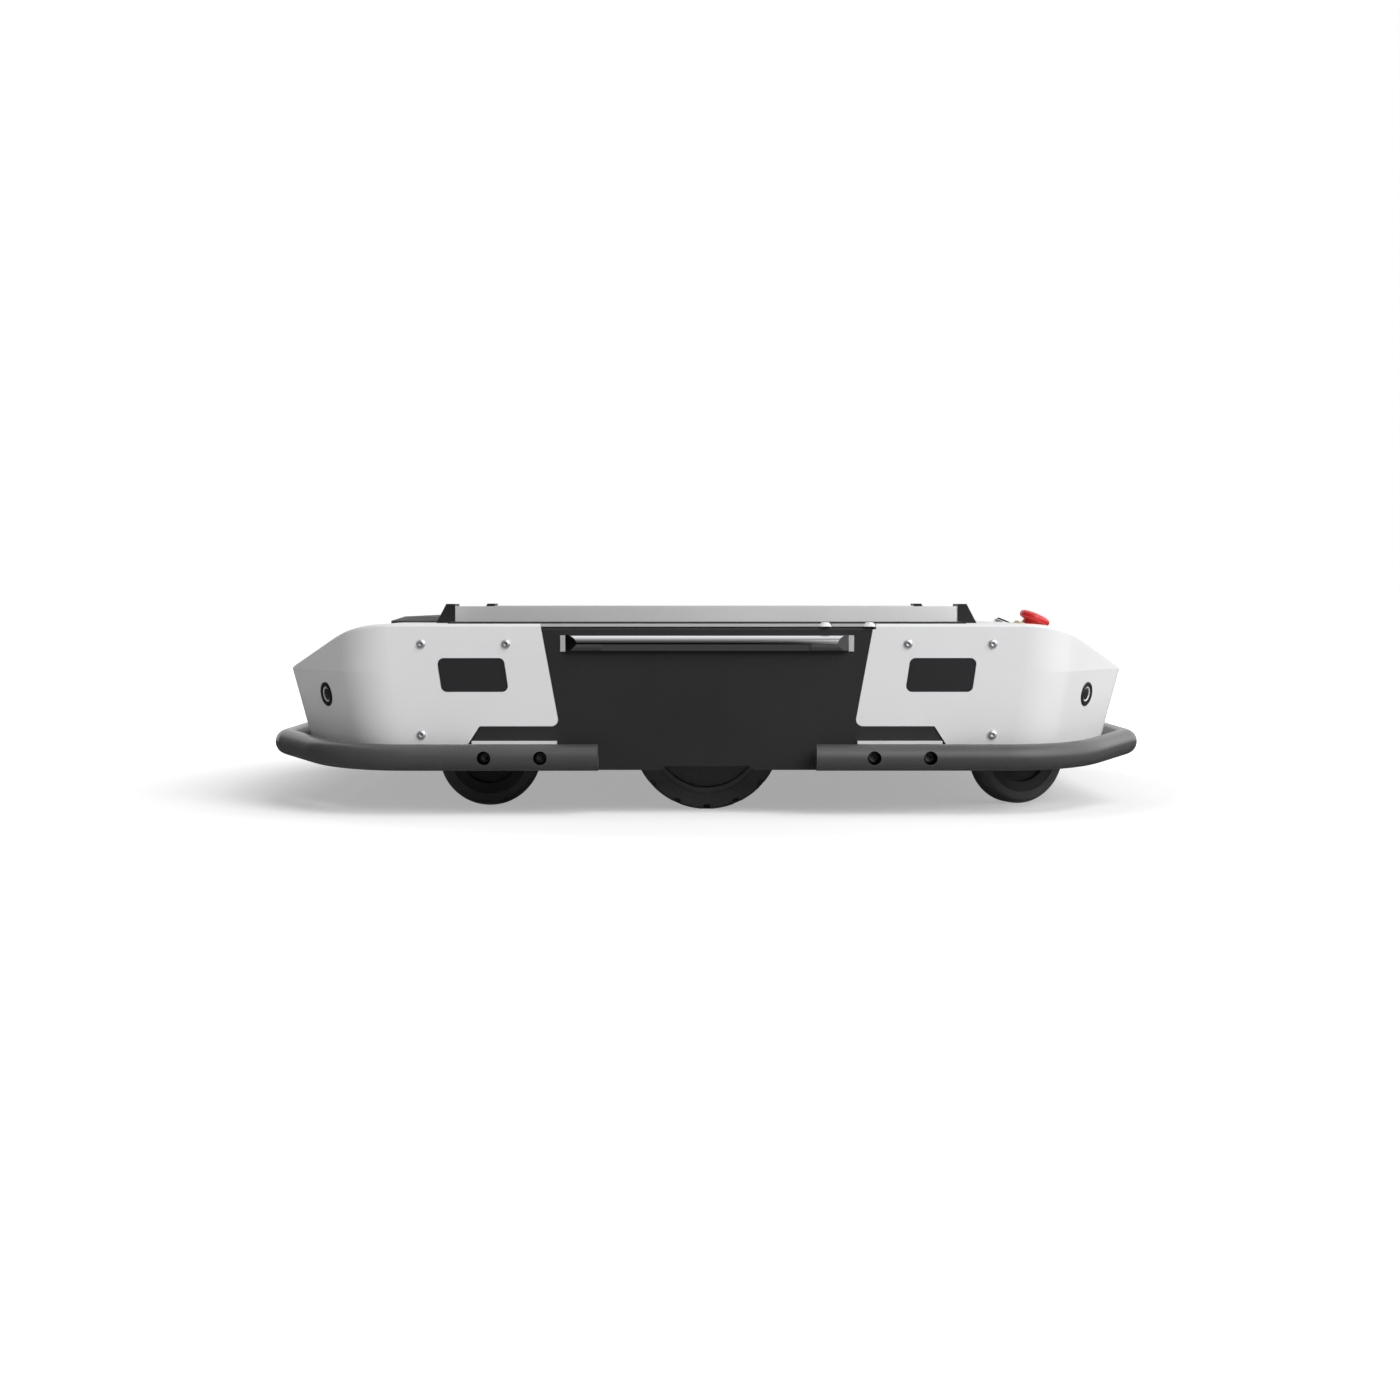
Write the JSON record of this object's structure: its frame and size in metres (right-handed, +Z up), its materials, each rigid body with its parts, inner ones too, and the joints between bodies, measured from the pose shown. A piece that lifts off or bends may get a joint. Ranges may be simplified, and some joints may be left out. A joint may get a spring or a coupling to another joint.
{
  "type": "automated guided vehicle",
  "caption": "Low differential-drive guided vehicle with swivel casters, bumper tubes round both noses, white shells and slotted load rails on its deck.",
  "frame": {"origin": "on the floor, under the middle of the vehicle", "axes": "+X forward, +Y to the vehicle's left, +Z up"},
  "size_m": [0.685, 0.57, 0.1596],
  "materials": {
    "white_shell": "smooth satin white moulding",
    "deck_grey": "satin light grey paint",
    "black_panel": "fine matt black powder coat",
    "dark_cover": "fine-grained dark grey",
    "rail_aluminium": "clear anodised, lightly brushed along its length",
    "black_plastic": "moulded matt black",
    "tube_grey": "satin dark grey paint",
    "polished_bar": "polished",
    "bright_steel": "bright plated",
    "white_plastic": "satin white",
    "smoked_window": "smoked dark, satin",
    "block_white": "white paint",
    "bolt_steel": "dark oxide",
    "fork_steel": "zinc plated",
    "pan_steel": "black paint",
    "drive_rubber": "matt rubber",
    "caster_rubber": "matt rubber",
    "hub_casting": "black paint",
    "caster_core": "moulded black",
    "battery_case": "moulded dark blue-grey",
    "driver_case": "grey anodised",
    "stop_red": "gloss red",
    "stop_yellow": "gloss yellow",
    "spring_rubber": "cast urethane"
  },
  "bodies": {
    "chassis": {"battery_pack": "battery_case", "bumper_blocks": "block_white", "bumper_bolts": "bolt_steel", "caster_heads": "fork_steel", "caster_shelves": "pan_steel", "charge_port": "black_plastic", "corner_sensors": "black_plastic", "deck_studs": "white_plastic", "estop_base": "stop_yellow", "floor_pan": "pan_steel", "frame_uprights": "pan_steel", "front_bumper": "tube_grey", "front_shell": "white_shell", "left_rail": "rail_aluminium", "left_side_bar": "polished_bar", "left_side_panel": "black_panel", "left_spring": "spring_rubber", "motor_driver": "driver_case", "pivot_brackets": "pan_steel", "pivot_pins": "bolt_steel", "power_bezel": "bright_steel", "rail_end_caps": "black_plastic", "rail_seats": "black_plastic", "rear_bumper": "tube_grey", "rear_shell": "white_shell", "right_rail": "rail_aluminium", "right_side_bar": "polished_bar", "right_side_panel": "black_panel", "right_spring": "spring_rubber", "sensor_rings": "bright_steel", "shell_screws": "bright_steel", "side_windows": "smoked_window", "top_cover": "dark_cover", "top_deck": "deck_grey"},
    "left_arm": {"left_swing_arm": "pan_steel", "left_drive_axle": "bolt_steel"},
    "left_drive_wheel": {"left_drive_hub": "hub_casting", "left_drive_tyre": "drive_rubber"},
    "right_arm": {"right_swing_arm": "pan_steel", "right_drive_axle": "bolt_steel"},
    "right_drive_wheel": {"right_drive_hub": "hub_casting", "right_drive_tyre": "drive_rubber"},
    "front_left_swivel": {"front_left_caster_fork": "fork_steel", "front_left_caster_axle": "bolt_steel"},
    "front_left_roller": {"front_left_caster_core": "caster_core", "front_left_caster_tyre": "caster_rubber"},
    "front_right_swivel": {"front_right_caster_fork": "fork_steel", "front_right_caster_axle": "bolt_steel"},
    "front_right_roller": {"front_right_caster_core": "caster_core", "front_right_caster_tyre": "caster_rubber"},
    "rear_left_swivel": {"rear_left_caster_fork": "fork_steel", "rear_left_caster_axle": "bolt_steel"},
    "rear_left_roller": {"rear_left_caster_core": "caster_core", "rear_left_caster_tyre": "caster_rubber"},
    "rear_right_swivel": {"rear_right_caster_fork": "fork_steel", "rear_right_caster_axle": "bolt_steel"},
    "rear_right_roller": {"rear_right_caster_core": "caster_core", "rear_right_caster_tyre": "caster_rubber"},
    "stop_plunger": {"estop_button": "stop_red"},
    "power_plunger": {"power_button": "black_plastic"}
  },
  "joints": [
    {"name": "left_suspension", "type": "hinge", "parent": "chassis", "child": "left_arm", "pos_m": [0.095, 0.162, 0.058], "axis": [0, 1, 0], "range_deg": [-4, 4], "stiffness_Nm_per_rad": 25, "springref_deg": -9.17, "deforming": ["left_spring"]},
    {"name": "left_drive_spin", "type": "hinge", "parent": "left_arm", "child": "left_drive_wheel", "pos_m": [0, 0.2, 0.058], "axis": [0, 1, 0], "continuous": true},
    {"name": "right_suspension", "type": "hinge", "parent": "chassis", "child": "right_arm", "pos_m": [0.095, -0.162, 0.058], "axis": [0, 1, 0], "range_deg": [-4, 4], "stiffness_Nm_per_rad": 25, "springref_deg": -9.17, "deforming": ["right_spring"]},
    {"name": "right_drive_spin", "type": "hinge", "parent": "right_arm", "child": "right_drive_wheel", "pos_m": [0, -0.2, 0.058], "axis": [0, 1, 0], "continuous": true},
    {"name": "front_left_caster_swivel", "type": "hinge", "parent": "chassis", "child": "front_left_swivel", "pos_m": [0.2117, 0.177, 0.0928], "axis": [0, 0, 1], "continuous": true},
    {"name": "front_left_caster_roll", "type": "hinge", "parent": "front_left_swivel", "child": "front_left_roller", "pos_m": [0.1717, 0.177, 0.04], "axis": [0, 1, 0], "continuous": true},
    {"name": "front_right_caster_swivel", "type": "hinge", "parent": "chassis", "child": "front_right_swivel", "pos_m": [0.2117, -0.177, 0.0928], "axis": [0, 0, 1], "continuous": true},
    {"name": "front_right_caster_roll", "type": "hinge", "parent": "front_right_swivel", "child": "front_right_roller", "pos_m": [0.1717, -0.177, 0.04], "axis": [0, 1, 0], "continuous": true},
    {"name": "rear_left_caster_swivel", "type": "hinge", "parent": "chassis", "child": "rear_left_swivel", "pos_m": [-0.2117, 0.177, 0.0928], "axis": [0, 0, 1], "continuous": true},
    {"name": "rear_left_caster_roll", "type": "hinge", "parent": "rear_left_swivel", "child": "rear_left_roller", "pos_m": [-0.24879, 0.16202, 0.04], "axis": [-0.3746, 0.9272, 0], "continuous": true},
    {"name": "rear_right_caster_swivel", "type": "hinge", "parent": "chassis", "child": "rear_right_swivel", "pos_m": [-0.2117, -0.177, 0.0928], "axis": [0, 0, 1], "continuous": true},
    {"name": "rear_right_caster_roll", "type": "hinge", "parent": "rear_right_swivel", "child": "rear_right_roller", "pos_m": [-0.2517, -0.177, 0.04], "axis": [0, 1, 0], "continuous": true},
    {"name": "estop_press", "type": "slide", "parent": "chassis", "child": "stop_plunger", "axis": [-0.39, 0, 0.9208], "range_m": [-0.004, 0], "stiffness_N_per_m": 1000, "springref_m": 0.003},
    {"name": "power_press", "type": "slide", "parent": "chassis", "child": "power_plunger", "axis": [-0.39, 0, 0.9208], "range_m": [-0.0015, 0], "stiffness_N_per_m": 800, "springref_m": 0.002}
  ]
}
